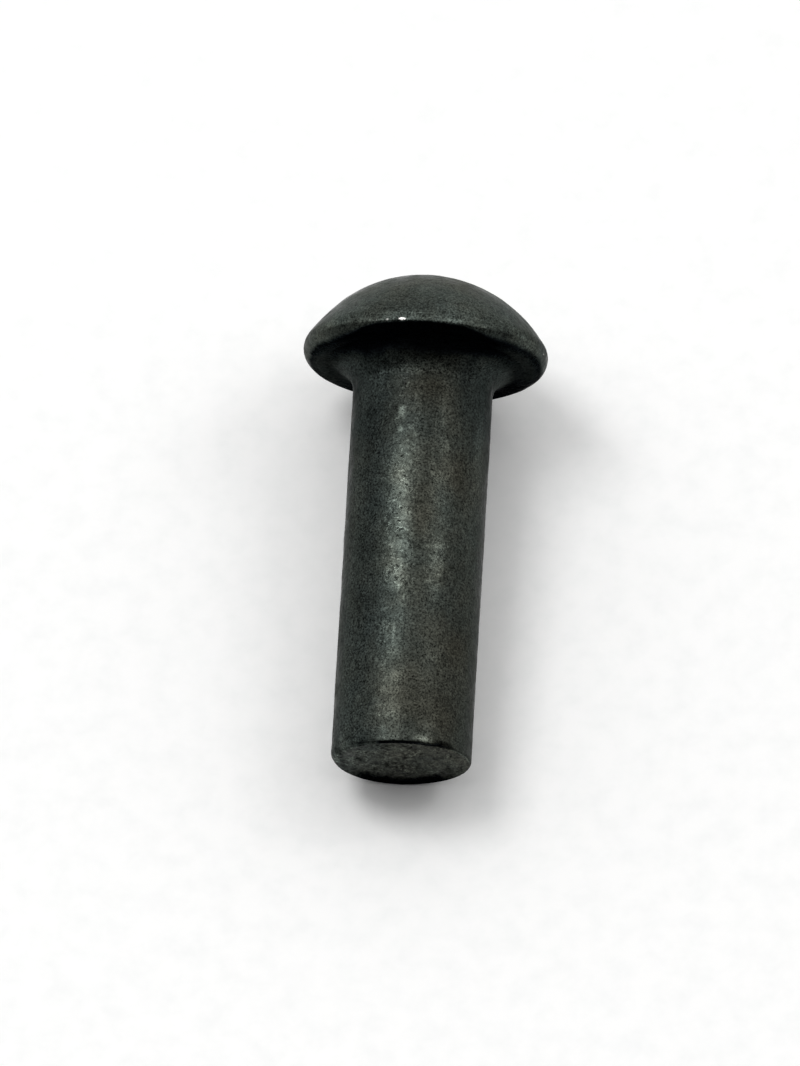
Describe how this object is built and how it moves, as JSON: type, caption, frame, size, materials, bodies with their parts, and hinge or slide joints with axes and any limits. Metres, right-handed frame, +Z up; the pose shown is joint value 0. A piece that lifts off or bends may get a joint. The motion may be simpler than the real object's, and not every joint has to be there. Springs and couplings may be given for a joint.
{
  "type": "round head rivet",
  "caption": "Solid black steel rivet with a domed round head, a filleted neck and a plain round shank sheared flat at the tip, for joining plates by upsetting the shank.",
  "frame": {"origin": "middle of the outer box's underside, on the surface that the rivet lies on", "axes": "+Z up; +Y along the lying rivet towards its head, whose end is raised 7 degrees by the rim; the sheared tip points to -Y; +X across it"},
  "size_m": [0.0104, 0.0218, 0.0104],
  "materials": {
    "black_steel": "satin black oxide scale"
  },
  "bodies": {
    "root": {"rivet": "black_steel"}
  },
  "joints": []
}
